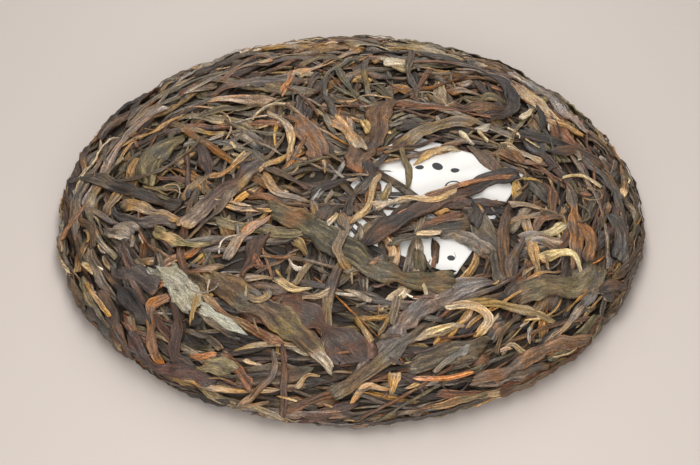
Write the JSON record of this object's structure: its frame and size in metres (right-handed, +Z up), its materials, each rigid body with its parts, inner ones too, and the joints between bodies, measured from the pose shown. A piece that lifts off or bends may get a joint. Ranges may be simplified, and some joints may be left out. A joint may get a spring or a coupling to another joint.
{
  "type": "pu erh tea cake",
  "caption": "Round cake of loose dark tea leaves pressed into a low domed disc, with a paper ticket bedded among its top leaves and a dimple underneath.",
  "frame": {"origin": "on the surface that the cake rests on, under the middle of its box", "axes": "+Z up through the dome; +X to the right and +Y to the back as seen from the side nearest the ticket's lower corner"},
  "size_m": [0.2001, 0.1995, 0.0245],
  "materials": {
    "tea_leaf": "dry, matt, dark brown to grey-green leaf with tan and cream pieces",
    "ticket_paper": "thin matt tissue paper"
  },
  "bodies": {
    "root": {"tea_cake": "tea_leaf", "paper_ticket": "ticket_paper"}
  },
  "joints": []
}
